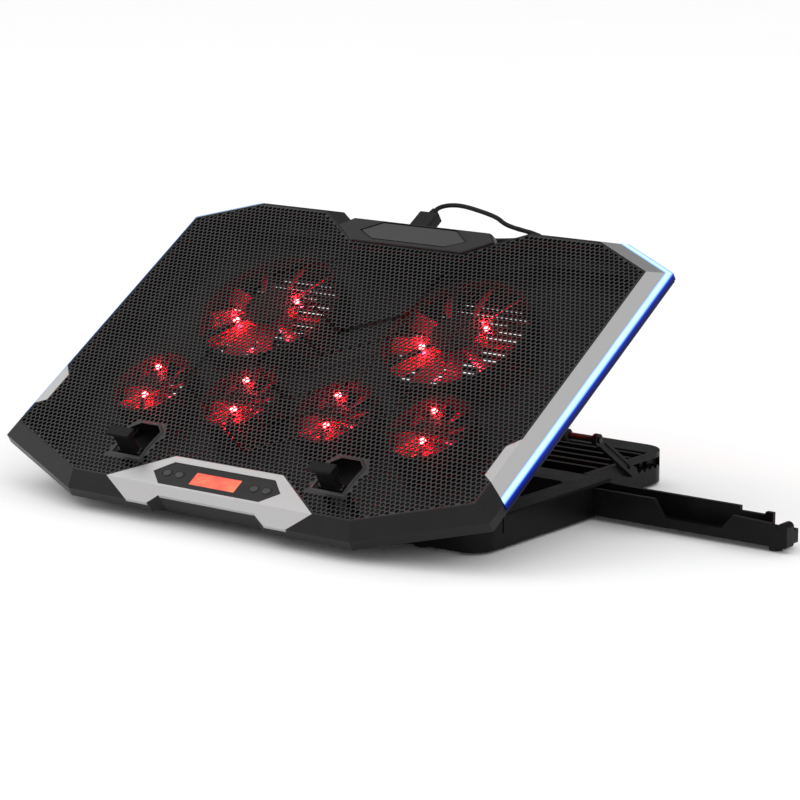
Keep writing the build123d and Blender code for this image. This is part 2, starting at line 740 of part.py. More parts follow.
stay_angle = -asin((bar_z - slot_z) / stay_length)
foot_y = bar_y + stay_length * cos(stay_angle)
slot_start = foot_y - 2.4
slot_stop = foot_y + 38.4
with BuildPart() as right_stay:
    stay_plane = Plane(origin=(stay_x, bar_y, bar_z), x_dir=(0, cos(stay_angle), sin(stay_angle)), z_dir=(1, 0, 0))
    with BuildSketch(stay_plane):
        with Locations((stay_length / 2, 0)):
            Rectangle(stay_length, 6.2)
        Circle(3.9)
        with Locations((stay_length, 0)):
            Circle(3.6)
        Circle(bar_radius + running, mode=Mode.SUBTRACT)
    extrude(amount=stay_thick)
    with BuildSketch(stay_plane.offset(stay_thick)):
        with Locations((stay_length / 2, 0)):
            SlotOverall(stay_length - 12, 2.6)
    extrude(amount=-1, mode=Mode.SUBTRACT)
    with BuildSketch(stay_plane):
        with Locations((stay_length, 0)):
            Circle(bar_radius)
    extrude(amount=-(stay_x - deck_half + 4.5))
with BuildPart() as left_stay:
    add(mirror(right_stay.part, about=Plane.YZ, mode=Mode.PRIVATE))
right_stay.part.label = "right_stay"
export_step(right_stay.part, "parts/right_stay.step")
left_stay.part.label = "left_stay"
export_step(left_stay.part, "parts/left_stay.step")

# ---------------------------------------------------------------- base
beam_start = arm_front - 2.5
beam_end = arm_front + arm_width + 2.5
corner = 16.0
front_outline_y = hinge_y - 10
with BuildPart() as base_frame:
    # front part: rails, front beam and the beam that holds the arms
    with BuildSketch(Plane.XY.offset(base_bottom)):
        with BuildLine():
            ThreePointArc((-base_half + corner, front_outline_y), (0, front_outline_y - 5),
                          (base_half - corner, front_outline_y))
            ThreePointArc((base_half - corner, front_outline_y),
                          (base_half - 0.29 * corner, front_outline_y + 0.29 * corner),
                          (base_half, front_outline_y + corner))
            Polyline((base_half, front_outline_y + corner), (base_half, hinge_y + beam_end),
                     (-base_half, hinge_y + beam_end), (-base_half, front_outline_y + corner))
            ThreePointArc((-base_half, front_outline_y + corner),
                          (-base_half + 0.29 * corner, front_outline_y + 0.29 * corner),
                          (-base_half + corner, front_outline_y))
        make_face()
    extrude(amount=base_top - base_bottom)
    fillet(base_frame.faces().sort_by(Axis.Z)[-1].edges(), radius=1.5)
    # window inside the front frame
    with BuildSketch(Plane.XY.offset(base_bottom)):
        with Locations((0, hinge_y + (14 + beam_start) / 2)):
            RectangleRounded(2 * (base_half - rail_width), beam_start - 14, 6)
    extrude(amount=base_top, mode=Mode.SUBTRACT)
    # the frame is hollow from below
    with BuildSketch(Plane.XY.offset(base_bottom)):
        for side in (-1, 1):
            with Locations((side * (base_half - rail_width / 2), hinge_y + 58)):
                Rectangle(rail_width - 2 * base_wall, 76)
        with Locations((0, hinge_y + 0.5)):
            Rectangle(2 * 126, 20)
    extrude(amount=base_top - base_bottom - base_wall, mode=Mode.SUBTRACT)
    # tunnel for the two phone arms
    with BuildSketch(upright(0)):
        with Locations((hinge_y + arm_front + arm_width / 2, (arm_low + arm_high) / 2)):
            Rectangle(arm_width + 2 * arm_gap, arm_high - arm_low + 2 * arm_gap)
    extrude(amount=base_half, both=True, mode=Mode.SUBTRACT)
    # pockets and pin bores of the tilt hinge
    for side in (-1, 1):
        with BuildSketch(Plane.XY.offset(base_bottom)):
            with Locations((side * tilt_lug_x, hinge_y + 4)):
                Rectangle(tilt_lug_width + 0.8, 23)
        extrude(amount=base_top, mode=Mode.SUBTRACT)
        with BuildSketch(Plane.XY.offset(17)):
            with Locations((side * tilt_lug_x, hinge_y - 9)):
                Rectangle(tilt_lug_width + 0.8, 16)
        extrude(amount=base_top, mode=Mode.SUBTRACT)
        with BuildSketch(upright(side * tilt_lug_x)):
            with Locations((hinge_y, hinge_z)):
                Circle(pin_radius)
        extrude(amount=tilt_lug_width / 2 + 5.4, both=True, mode=Mode.SUBTRACT)
        # a joint line in each side wall, between the hinge corner and the rail
        with BuildSketch(upright(side * base_half)):
            with Locations((hinge_y + 14, base_top)):
                Rectangle(1.4, 24)
        extrude(amount=1, both=True, mode=Mode.SUBTRACT)
    # rear deck with its cheeks, ribs and end plate
    with BuildSketch(Plane.XY.offset(base_bottom)):
        with Locations((0, hinge_y + (beam_end + deck_end) / 2)):
            Rectangle(2 * deck_half, deck_end - beam_end)
    extrude(amount=2.2)
    with BuildSketch(Plane.XY.offset(base_bottom)):
        for side in (-1, 1):
            with Locations((side * (deck_half - 2), hinge_y + (beam_end + deck_end) / 2 - 6)):
                Rectangle(4, deck_end - beam_end - 12)
        with Locations(*[(0, hinge_y + 149 + row * rib_pitch) for row in range(rib_count)]):
            Rectangle(2 * deck_half - 10, 3)
    extrude(amount=base_top - base_bottom)
    with BuildSketch(Plane.XY.offset(base_bottom)) as end_plan:
        with Locations((0, hinge_y + (205 + deck_end) / 2)):
            Rectangle(2 * deck_half, deck_end - 205)
        fillet(end_plan.vertices().sort_by(Axis.Y)[-2:], radius=18)
    extrude(amount=base_top - base_bottom)
    with BuildSketch(Plane.XY.offset(base_bottom)):
        with Locations((0, hinge_y + (205 + deck_end) / 2)):
            RectangleRounded(2 * deck_half - 12, deck_end - 205 - 5, 6)
    extrude(amount=base_top - base_bottom - base_wall, mode=Mode.SUBTRACT)
    with BuildSketch(Plane.XY.offset(base_bottom)):
        with Locations((0, hinge_y + deck_end)):
            Rectangle(4 * deck_half, 36)
        with Locations((0, hinge_y + deck_end - 18)):
            RectangleRounded(2 * deck_half, 36, 17.9, mode=Mode.SUBTRACT)
    extrude(amount=base_top, mode=Mode.SUBTRACT)
    # stepped slots in the cheeks for the stay pins
    for side in (-1, 1):
        with BuildSketch(upright(side * (deck_half - 2))):
            with Locations(((slot_start + slot_stop) / 2, slot_z + 0.5)):
                Rectangle(slot_stop - slot_start, 5.1)
            with Locations(*[(foot_y + step * 6.2, slot_z - bar_radius) for step in range(7)]):
                Circle(1.9)
        extrude(amount=2.6, both=True, mode=Mode.SUBTRACT)
base_frame.part.label = "base_frame"
export_step(base_frame.part, "parts/base_frame.step")

with BuildPart() as tilt_pins:
    for side in (-1, 1):
        with BuildSketch(upright(side * tilt_lug_x)):
            with Locations((hinge_y, hinge_z)):
                Circle(pin_radius)
        extrude(amount=tilt_lug_width / 2 + 5, both=True)
tilt_pins.part.label = "tilt_pins"
export_step(tilt_pins.part, "parts/tilt_pins.step")

foot_spots = [(s * x, hinge_y + d) for x, d in [(157, 20), (120, -4), (135, 215)] for s in (-1, 1)]
with BuildPart() as rubber_feet:
    with BuildSketch(Plane.XY):
        with Locations(*foot_spots):
            Circle(5.5)
    extrude(amount=base_bottom)
    chamfer(rubber_feet.faces().sort_by(Axis.Z)[0].edges(), length=0.4)
rubber_feet.part.label = "rubber_feet"
export_step(rubber_feet.part, "parts/rubber_feet.step")

# ---------------------------------------------------------------- phone arms
arm_y = hinge_y + arm_front + arm_width / 2
with BuildPart() as right_phone_arm:
    with BuildSketch(Plane.XY.offset(arm_low)):
        with Locations(((arm_inner + 301) / 2, arm_y)):
            Rectangle(301 - arm_inner, arm_width)
    extrude(amount=arm_high - arm_low)
    with BuildSketch(Plane.XY.offset(arm_low + arm_wall)):
        with Locations(((arm_inner + 310) / 2, arm_y)):
            Rectangle(310 - arm_inner, arm_width - 2 * arm_wall)
    extrude(amount=arm_high, mode=Mode.SUBTRACT)
    # front wall: low stretch that leaves the phone's screen clear, and a sloping end
    with BuildSketch(Plane(origin=(0, arm_y, 0), x_dir=(1, 0, 0), z_dir=(0, -1, 0))):
        Polygon((211, 30), (211, 20.5), (219, 9.2), (259, 9.2), (267, 18.6), (294, 17.6), (301.1, 11.5),
                (301.1, 30), align=None)
    extrude(amount=arm_width, mode=Mode.SUBTRACT)
    # rear wall: stepped end
    with BuildSketch(Plane(origin=(0, arm_y, 0), x_dir=(-1, 0, 0), z_dir=(0, 1, 0))):
        Polygon((-262, 30), (-262, 17.5), (-279, 17.5), (-280, 19.5), (-285, 19.5), (-285, 12), (-302, 12),
                (-302, 30), align=None)
    extrude(amount=arm_width, mode=Mode.SUBTRACT)
    # low end plate, and a finger pull with a rounded top at its front end
    with BuildSketch(Plane.XY.offset(arm_low)):
        with Locations((299, arm_y)):
            Rectangle(4, arm_width)
    extrude(amount=8)
    with BuildSketch(Plane(origin=(0, arm_y - 2, 0), x_dir=(1, 0, 0), z_dir=(0, -1, 0))) as pull:
        with Locations(((arm_outer + 298.5) / 2, (arm_low + 18.8) / 2)):
            Rectangle(arm_outer - 298.5, 18.8 - arm_low)
        fillet(pull.vertices().group_by(Axis.Y)[-1], radius=3)
        fillet(pull.vertices().group_by(Axis.Y)[0].sort_by(Axis.X)[-1], radius=1.5)
    extrude(amount=arm_width / 2 - 2)
with BuildPart() as left_phone_arm:
    add(mirror(right_phone_arm.part, about=Plane.YZ, mode=Mode.PRIVATE))
right_phone_arm.part.label = "right_phone_arm"
export_step(right_phone_arm.part, "parts/right_phone_arm.step")
left_phone_arm.part.label = "left_phone_arm"
export_step(left_phone_arm.part, "parts/left_phone_arm.step")

with BuildPart() as right_arm_foot:
    with BuildSketch(Plane.XY):
        with Locations((293.5, arm_y - 3)):
            Circle(4.2)
    extrude(amount=arm_low)
    chamfer(right_arm_foot.faces().sort_by(Axis.Z)[0].edges(), length=0.4)
with BuildPart() as left_arm_foot:
    add(mirror(right_arm_foot.part, about=Plane.YZ, mode=Mode.PRIVATE))
right_arm_foot.part.label = "right_arm_foot"
export_step(right_arm_foot.part, "parts/right_arm_foot.step")
left_arm_foot.part.label = "left_arm_foot"
export_step(left_arm_foot.part, "parts/left_arm_foot.step")
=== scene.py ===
"""Looks of the laptop cooling pad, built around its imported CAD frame.

Everything is in metres in the frame's own axes. Lengths that describe the pad are written in millimetres
in the pad's tilted axes: u along X, v up the slope, n out of the top face.
"""
import json
from math import cos, hypot, radians, sin, sqrt

import bpy
import numpy as np
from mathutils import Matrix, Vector, geometry


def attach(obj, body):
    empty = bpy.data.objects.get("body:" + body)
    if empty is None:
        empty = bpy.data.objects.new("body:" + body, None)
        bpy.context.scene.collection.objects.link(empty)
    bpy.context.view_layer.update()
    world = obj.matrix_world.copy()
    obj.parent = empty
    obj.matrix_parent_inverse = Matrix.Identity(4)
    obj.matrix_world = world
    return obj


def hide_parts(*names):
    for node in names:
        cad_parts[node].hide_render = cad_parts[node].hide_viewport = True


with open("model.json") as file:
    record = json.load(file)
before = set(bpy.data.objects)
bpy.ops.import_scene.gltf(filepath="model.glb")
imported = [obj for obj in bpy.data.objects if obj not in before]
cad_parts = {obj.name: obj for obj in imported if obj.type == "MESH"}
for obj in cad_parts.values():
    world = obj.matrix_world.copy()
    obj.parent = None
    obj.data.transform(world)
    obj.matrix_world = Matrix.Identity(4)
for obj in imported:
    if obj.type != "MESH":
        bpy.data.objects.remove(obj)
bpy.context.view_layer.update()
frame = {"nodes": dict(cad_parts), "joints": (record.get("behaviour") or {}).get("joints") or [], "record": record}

MM = 0.001
nodes = frame["nodes"]
joints = {joint["name"]: joint for joint in frame["joints"]}

# ---------------------------------------------------------------- the pad's tilted axes
tilt = radians(-joints["pad_tilt"]["range_deg"][0])
hinge = Vector(joints["pad_tilt"]["pos_m"])
hinge_to_centre = 51.3   # up the slope, from the tilt hinge to the middle of the pad
hinge_to_top = 39.6      # square to the slope, from the hinge to the top face
U = Vector((1, 0, 0))
V = Vector((0, cos(tilt), sin(tilt)))
N = Vector((0, -sin(tilt), cos(tilt)))
ORIGIN = hinge + V * hinge_to_centre * MM + N * hinge_to_top * MM


def on_pad(u, v, n=0.0):
    """World position of a point given in the pad's axes, in millimetres."""
    return ORIGIN + (U * u + V * v + N * n) * MM


def to_pad(point):
    """The pad's axes of a world point, in millimetres."""
    offset = (Vector(point) - ORIGIN) / MM
    return offset.dot(U), offset.dot(V), offset.dot(N)


# ---------------------------------------------------------------- plane geometry helpers
def inside(polygon, x, y):
    """True if a point is inside a closed polygon."""
    result = False
    for (x0, y0), (x1, y1) in zip(polygon, polygon[1:] + polygon[:1]):
        if (y0 > y) != (y1 > y) and x < (x1 - x0) * (y - y0) / (y1 - y0) + x0:
            result = not result
    return result


def edge_distance(polygon, x, y):
    """Shortest distance from points to a polygon's edges; x and y may be arrays."""
    best = np.full(np.shape(x), 1e9)
    for (x0, y0), (x1, y1) in zip(polygon, polygon[1:] + polygon[:1]):
        run, rise = x1 - x0, y1 - y0
        along = np.clip(((x - x0) * run + (y - y0) * rise) / (run * run + rise * rise), 0, 1)
        best = np.minimum(best, np.hypot(x - x0 - along * run, y - y0 - along * rise))
    return best


def inside_all(polygon, x, y):
    """Array form of inside."""
    result = np.zeros(np.shape(x), bool)
    for (x0, y0), (x1, y1) in zip(polygon, polygon[1:] + polygon[:1]):
        if y0 == y1:
            continue
        crosses = ((y0 > y) != (y1 > y)) & (x < (x1 - x0) * (y - y0) / (y1 - y0) + x0)
        result ^= crosses
    return result


def area(polygon):
    """Signed area, positive when the polygon runs anticlockwise."""
    pairs = zip(polygon, polygon[1:] + polygon[:1])
    return sum(x0 * y1 - x1 * y0 for (x0, y0), (x1, y1) in pairs) / 2


def offset(polygon, amount):
    """An anticlockwise polygon with every edge moved outward by amount."""
    lines = []
    for (x0, y0), (x1, y1) in zip(polygon, polygon[1:] + polygon[:1]):
        span = hypot(x1 - x0, y1 - y0)
        normal = ((y1 - y0) / span, (x0 - x1) / span)
        lines.append((normal, normal[0] * x0 + normal[1] * y0 + amount))
    corners = []
    for (a, p), (b, q) in zip([lines[-1]] + lines[:-1], lines):
        cross = a[0] * b[1] - a[1] * b[0]
        corners.append(((p * b[1] - q * a[1]) / cross, (a[0] * q - b[0] * p) / cross))
    return corners


def clip(subject, convex):
    """The part of subject inside an anticlockwise convex polygon."""
    result = list(subject)
    for (x0, y0), (x1, y1) in zip(convex, convex[1:] + convex[:1]):
        if not result:
            return []
        side = [(x1 - x0) * (y - y0) - (y1 - y0) * (x - x0) for x, y in result]
        kept = []
        for k, (here, there) in enumerate(zip(result, result[1:] + result[:1])):
            a, b = side[k], side[(k + 1) % len(result)]
            if a >= 0:
                kept.append(here)
            if (a >= 0) != (b >= 0):
                t = a / (a - b)
                kept.append((here[0] + t * (there[0] - here[0]), here[1] + t * (there[1] - here[1])))
        result = kept
    return result


def face_loops(node, direction):
    """Boundary loops, in pad u and v, of a CAD node's faces that look along direction; the longest first."""
    mesh = nodes[node].data
    keys = [tuple(round(c, 7) for c in vertex.co) for vertex in mesh.vertices]
    edges = set()
    for polygon in mesh.polygons:
        if polygon.normal.dot(direction) < 0.999:
            continue
        ring = [keys[i] for i in polygon.vertices]
        for a, b in zip(ring, ring[1:] + ring[:1]):
            if (b, a) in edges:
                edges.remove((b, a))
            else:
                edges.add((a, b))
    follow = dict(edges)
    loops = []
    while follow:
        start, here = follow.popitem()
        loop = [start]
        while here != start:
            loop.append(here)
            here = follow.pop(here)
        loops.append([to_pad(point)[:2] for point in loop])
    return sorted(loops, key=lambda loop: -abs(area(loop)))


# ---------------------------------------------------------------- node materials
class Shader:
    """A node material around one Principled surface."""

    def __init__(self, name):
        self.material = bpy.data.materials.new(name)
        self.material.use_nodes = True
        self.tree = self.material.node_tree
        self.tree.nodes.clear()
        self.output = self.node("OutputMaterial")
        self.surface = self.node("BsdfPrincipled")
        self.link(self.surface.outputs[0], self.output.inputs["Surface"])
        self.place = self.node("TexCoord").outputs["Object"]

    def node(self, kind, **settings):
        made = self.tree.nodes.new("ShaderNode" + kind)
        for key, value in settings.items():
            setattr(made, key, value)
        return made

    def link(self, source, target):
        self.tree.links.new(source, target)

    def feed(self, target, value):
        """Connects a socket or sets a plain value."""
        if isinstance(value, bpy.types.NodeSocket):
            self.link(value, target)
        elif isinstance(value, (tuple, list)) and len(value) == 3 and len(target.default_value) == 4:
            target.default_value = (*value, 1)
        else:
            target.default_value = value

    def set(self, **values):
        """Feeds the Principled surface by input name, with _ for a space."""
        for key, value in values.items():
            self.feed(self.surface.inputs[key.replace("_", " ")], value)

    def math(self, operation, a, b=0.0, clamp=False):
        made = self.node("Math", operation=operation, use_clamp=clamp)
        self.feed(made.inputs[0], a)
        self.feed(made.inputs[1], b)
        return made.outputs[0]

    def noise(self, size, detail=3.0, rough=0.5, stretch=None):
        """Noise whose lumps are about size millimetres across."""
        made = self.node("TexNoise")
        made.inputs["Scale"].default_value = 1 / (size * MM)
        made.inputs["Detail"].default_value = detail
        made.inputs["Roughness"].default_value = rough
        place = self.place
        if stretch:
            scaled = self.node("VectorMath", operation="MULTIPLY")
            self.link(place, scaled.inputs[0])
            scaled.inputs[1].default_value = stretch
            place = scaled.outputs[0]
        self.link(place, made.inputs["Vector"])
        return made.outputs["Fac"]

    def cells(self, size, feature="F1"):
        """Distance to the nearest of scattered points about size millimetres apart."""
        made = self.node("TexVoronoi", feature=feature)
        made.inputs["Scale"].default_value = 1 / (size * MM)
        self.link(self.place, made.inputs["Vector"])
        return made.outputs["Distance"]

    def ramp(self, value, stops):
        """A colour ramp through (position, colour) stops."""
        made = self.node("ValToRGB")
        self.link(value, made.inputs[0])
        elements = made.color_ramp.elements
        while len(elements) < len(stops):
            elements.new(0.5)
        for element, (position, colour) in zip(elements, stops):
            element.position = position
            element.color = (*colour, 1)
        return made.outputs[0]

    def span(self, value, low, high, low_out=0.0, high_out=1.0):
        """Maps value from low..high onto low_out..high_out, clamped."""
        made = self.node("MapRange")
        self.link(value, made.inputs["Value"])
        for key, number in zip(("From Min", "From Max", "To Min", "To Max"), (low, high, low_out, high_out)):
            made.inputs[key].default_value = number
        return made.outputs["Result"]

    def mix(self, factor, a, b):
        """A colour between a and b."""
        made = self.node("Mix", data_type="RGBA")
        self.feed(made.inputs[0], factor)
        self.feed(made.inputs[6], a)
        self.feed(made.inputs[7], b)
        return made.outputs[2]

    def bump(self, height, depth, strength=1.0, edge=0.0):
        """Bumps the surface by a height field depth millimetres deep and rounds edges by edge millimetres."""
        made = self.node("Bump")
        made.inputs["Strength"].default_value = strength
        made.inputs["Distance"].default_value = depth * MM
        self.link(height, made.inputs["Height"])
        if edge:
            self.link(self.rounded(edge), made.inputs["Normal"])
        self.link(made.outputs[0], self.surface.inputs["Normal"])

    def rounded(self, edge):
        """The surface normal as if edges were rounded."""
        made = self.node("Bevel", samples=6)
        made.inputs["Radius"].default_value = edge * MM
        return made.outputs[0]

    def edges(self, width):
        """1 along convex or concave edges and 0 on open faces, for wear and painted edge highlights."""
        rounded = self.rounded(width)
        flat = self.node("NewGeometry").outputs["Normal"]
        facing = self.node("VectorMath", operation="DOT_PRODUCT")
        self.link(rounded, facing.inputs[0])
        self.link(flat, facing.inputs[1])
        return self.span(facing.outputs["Value"], 0.999, 0.93)

    def along(self, direction):
        """Distance in millimetres from the pad's origin along a direction."""
        shifted = self.node("VectorMath", operation="SUBTRACT")
        self.link(self.place, shifted.inputs[0])
        shifted.inputs[1].default_value = ORIGIN
        dotted = self.node("VectorMath", operation="DOT_PRODUCT")
        self.link(shifted.outputs[0], dotted.inputs[0])
        dotted.inputs[1].default_value = Vector(direction) / MM
        return dotted.outputs["Value"]


def moulded(name, colour, roughness, grain, depth, edge_wear_and_highlight=0.35, edge=0.35, coat=0.0, shine=0.1):
    """Moulded plastic: spark-eroded grain, patchy sheen, and edges painted a little lighter, partly wear and
    partly a painted edge highlight.
    """
    made = Shader(name)
    fine = made.noise(grain, 2.0, 0.6)
    coarse = made.noise(grain * 40, 3.0)
    # edges are mixed towards a lighter colour: partly wear, partly a painted edge highlight
    highlight_and_wear_mask = made.math("MULTIPLY", made.edges(edge * 1.6), made.span(made.noise(6), 0.35, 0.7), clamp=True)
    highlight_and_wear_colour = tuple(min(1.0, c * 2.4 + 0.02) for c in colour)
    tint = made.mix(made.span(coarse, 0.3, 0.7), colour, tuple(c * 1.25 + 0.001 for c in colour))
    both = made.math("ADD", made.math("MULTIPLY", coarse, 0.6), made.math("MULTIPLY", fine, 0.4))
    made.set(Base_Color=made.mix(made.math("MULTIPLY", highlight_and_wear_mask, edge_wear_and_highlight), tint, highlight_and_wear_colour),
             Roughness=made.span(both, 0.3, 0.7, roughness - 0.06, roughness + 0.08),
             Specular_IOR_Level=shine, Coat_Weight=coat, Coat_Roughness=0.12)
    made.bump(fine, depth, 0.8, edge)
    return made.material


def silver_paint():
    """Metallic lacquer over plastic: tiny flakes, faint orange peel, duller where hands touch."""
    made = Shader("silver_paint")
    flakes = made.cells(0.18)
    haze = made.noise(35, 3.0)
    made.set(Base_Color=made.mix(made.span(flakes, 0.1, 0.6), (0.58, 0.575, 0.575), (0.49, 0.485, 0.485)),
             Metallic=0.85, Roughness=made.span(haze, 0.3, 0.7, 0.36, 0.46),
             Coat_Weight=0.25, Coat_Roughness=0.25)
    made.bump(made.noise(0.5, 2.0), 0.02, 0.5, 0.3)
    return made.material


def sheet_steel():
    """Powder-coated steel sheet: patchy grey webs, and the punched hole walls painted near black with no specular,
    as painted shade inside the holes.
    """
    made = Shader("powder_coated_sheet")
    coat = made.noise(0.25, 3.0, 0.65)
    patch = made.noise(30, 4.0)
    facing = made.node("VectorMath", operation="DOT_PRODUCT")
    made.link(made.node("TexCoord").outputs["Normal"], facing.inputs[0])
    facing.inputs[1].default_value = N
    face = made.span(facing.outputs["Value"], 0.5, 0.9)
    web_tint = made.mix(made.span(patch, 0.3, 0.7), (0.018, 0.0175, 0.018), (0.027, 0.0265, 0.0265))
    # faces turned away from N (the hole walls) get a near-black colour and no specular: painted shade inside the
    # holes
    made.set(Base_Color=made.mix(face, (0.0015, 0.0015, 0.0015), web_tint),
             Roughness=made.span(coat, 0.3, 0.7, 0.3, 0.46),
             Specular_IOR_Level=made.math("MULTIPLY", face, 0.3))
    made.bump(coat, 0.03, 0.8, 0.12)
    return made.material


def lit_diffuser():
    """Frosted light bar: a pale core just below the top face, over a wall that fades down to deep blue."""
    made = Shader("lit_diffuser")
    depth = made.along(N)
    cloud = made.span(made.noise(14, 2.0), 0.3, 0.7, 0.86, 1.08)
    colour = made.ramp(made.span(depth, -13.6, -5.6), [
        (0.0, (0.0, 0.002, 0.04)), (0.3, (0.0, 0.006, 0.16)), (0.55, (0.0, 0.02, 0.5)),
        (0.62, (0.01, 0.16, 0.95)), (0.7, (0.35, 0.8, 1.0)), (0.82, (0.6, 0.95, 1.0)),
        (0.9, (0.3, 0.62, 1.0)), (0.955, (0.03, 0.14, 0.9)), (1.0, (0.12, 0.2, 0.6))])
    made.set(Base_Color=made.mix(made.span(depth, -9.2, -8.2), (0.002, 0.004, 0.012), (0.25, 0.32, 0.42)),
             Roughness=0.32, Specular_IOR_Level=0.06, Emission_Color=colour, Emission_Strength=cloud)
    made.bump(made.noise(0.6, 2.0), 0.03, 0.4, 0.4)
    return made.material


def lit_display():
    """Backlit display behind a clear window: a warm field of fine dots, brighter towards the right."""
    made = Shader("lit_display")
    across = made.along(U)
    up = made.along(V)
    backlight = made.span(across, -19.0, 17.0, 0.92, 1.2)
    row = made.math("SINE", made.math("MULTIPLY", up, 14.0))
    column = made.math("SINE", made.math("MULTIPLY", across, 14.0))
    dots = made.span(made.math("MULTIPLY", row, column), -0.4, 0.6, 0.93, 1.0)
    patch = made.span(made.noise(9, 2.0), 0.35, 0.65)
    made.set(Base_Color=(0.08, 0.01, 0.006), Roughness=0.12, Coat_Weight=0.25, Coat_Roughness=0.04,
             Emission_Color=made.mix(patch, (0.93, 0.09, 0.05), (1.0, 0.2, 0.08)),
             Emission_Strength=made.math("MULTIPLY", backlight, dots))
    made.bump(made.noise(5, 1.0), 0.02, 0.3, 0.2)
    return made.material


def lamp_lens():
    """A lit red lamp with a hot centre."""
    made = Shader("lamp_lens")
    hot = made.span(made.noise(1.2, 1.0), 0.3, 0.7, 0.8, 1.2)
    made.set(Base_Color=(0.6, 0.05, 0.03), Roughness=0.15, Emission_Color=(1.0, 0.05, 0.05),
             Emission_Strength=made.math("MULTIPLY", hot, 40.0))
    made.bump(made.noise(0.8, 1.0), 0.03, 0.3)
    return made.material


def smoked_blades(name, centre, reach):
    """Smoked, see-through fan plastic with a painted red glow part way out along the blades, standing in for the
    lamps' light.
    """
    made = Shader(name)
    flow = made.noise(3.0, 2.0)
    away = made.node("VectorMath", operation="DISTANCE")
    made.link(made.place, away.inputs[0])
    away.inputs[1].default_value = centre
    share = made.math("DIVIDE", away.outputs["Value"], reach)
    # a ring part way out along the blades gets a painted red glow, standing in for the lamps' light through the
    # plastic
    painted_glow_share = made.math("MULTIPLY", made.span(share, 0.3, 0.55), made.span(share, 1.02, 0.6))
    made.set(Base_Color=made.mix(made.span(flow, 0.3, 0.7), (0.20, 0.012, 0.016), (0.32, 0.02, 0.026)),
             Roughness=made.span(flow, 0.3, 0.7, 0.22, 0.34), Emission_Color=(0.75, 0.015, 0.045),
             Emission_Strength=made.math("MULTIPLY", painted_glow_share, made.span(flow, 0.2, 0.8, 0.3, 0.5)))
    made.bump(made.noise(0.8, 2.0), 0.02, 0.4)
    through = made.node("BsdfTranslucent")
    through.inputs[0].default_value = (0.6, 0.02, 0.03, 1)
    blend = made.node("MixShader")
    blend.inputs[0].default_value = 0.4
    made.link(made.surface.outputs[0], blend.inputs[1])
    made.link(through.outputs[0], blend.inputs[2])
    made.link(blend.outputs[0], made.output.inputs["Surface"])
    return made.material


def dark_steel(name, colour, roughness):
    """Blackened steel with drawn lines along X and worn, brighter edges."""
    made = Shader(name)
    lines = made.noise(0.25, 2.0, 0.6, stretch=(0.03, 1, 1))
    worn = tuple(min(1.0, c * 2.2) for c in colour)
    made.set(Base_Color=made.mix(made.edges(0.4), colour, worn), Metallic=0.9,
             Roughness=made.span(lines, 0.3, 0.7, roughness - 0.08, roughness + 0.1))
    made.bump(lines, 0.015, 0.6, 0.2)
    return made.material


def circuit_board():
    """Green solder mask over faint copper tracks."""
    made = Shader("circuit_board")
    tracks = made.span(made.cells(3.0, "DISTANCE_TO_EDGE"), 0.03, 0.08)
    made.set(Base_Color=made.mix(tracks, (0.05, 0.22, 0.09), (0.012, 0.08, 0.035)), Roughness=0.35)
    made.bump(tracks, 0.04, 0.6)
    return made.material


finishes = {
    "black_plastic": moulded("black_shell", (0.0042, 0.0039, 0.0039), 0.34, 0.35, 0.03, shine=0.26),
    "stand_plastic": moulded("black_stand", (0.0042, 0.0042, 0.0046), 0.36, 0.3, 0.03),
    "badge_plastic": moulded("black_badge", (0.02, 0.02, 0.021), 0.30, 0.3, 0.02, shine=0.5),
    "panel_plastic": moulded("black_panel", (0.005, 0.0047, 0.0047), 0.2, 0.25, 0.012, coat=0.05, shine=0.25),
    "display_body": moulded("white_moulding", (0.6, 0.6, 0.58), 0.45, 0.4, 0.02, edge_wear_and_highlight=0.0),
    # the buttons' edges are painted fully lighter: a painted edge highlight along with some wear
    "button_rubber": moulded("button_rubber", (0.007, 0.007, 0.007), 0.25, 0.2, 0.02,
                             edge_wear_and_highlight=1.0, edge=0.5, shine=0.6),
    "rubber": moulded("black_rubber", (0.016, 0.016, 0.016), 0.7, 0.5, 0.06),
    "cable_rubber": moulded("cable_sheath", (0.012, 0.012, 0.013), 0.45, 0.4, 0.03),
    "fan_frame": moulded("fan_frame", (0.010, 0.009, 0.009), 0.45, 0.4, 0.03),
    "mesh_steel": sheet_steel(),
    "silver_plastic": silver_paint(),
    "light_diffuser": lit_diffuser(),
    "display_glass": lit_display(),
    "red_lamp": lamp_lens(),
    "steel": dark_steel("blackened_steel", (0.03, 0.03, 0.032), 0.35),
    "board": circuit_board(),
}
satin_block = moulded("satin_block", (0.008, 0.0078, 0.008), 0.28, 0.3, 0.015, shine=0.3)
slot_of = {part["node"]: part["material_slot"] for part in frame["record"]["subparts"]}
for name, thing in nodes.items():
    thing.data.materials.clear()
    if name == "rear_block":
        thing.data.materials.append(satin_block)
    elif slot_of[name] == "fan_blade":
        centre = Vector(joints[name.replace("_rotor", "_spin")]["pos_m"])
        reach = max((vertex.co - centre).length for vertex in thing.data.vertices)
        thing.data.materials.append(smoked_blades(name + "_plastic", centre, reach))
    else:
        thing.data.materials.append(finishes[slot_of[name]])


def new_piece(name, vertices, faces, body, slot, replaced=()):
    """A mesh piece in the frame's axes that rides a CAD body."""
    mesh = bpy.data.meshes.new(name)
    mesh.from_pydata(vertices, [], faces)
    mesh.validate()
    made = bpy.data.objects.new(name, mesh)
    bpy.context.scene.collection.objects.link(made)
    mesh.materials.append(finishes[slot])
    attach(made, body)
    if replaced:
        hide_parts(*replaced)
    return made


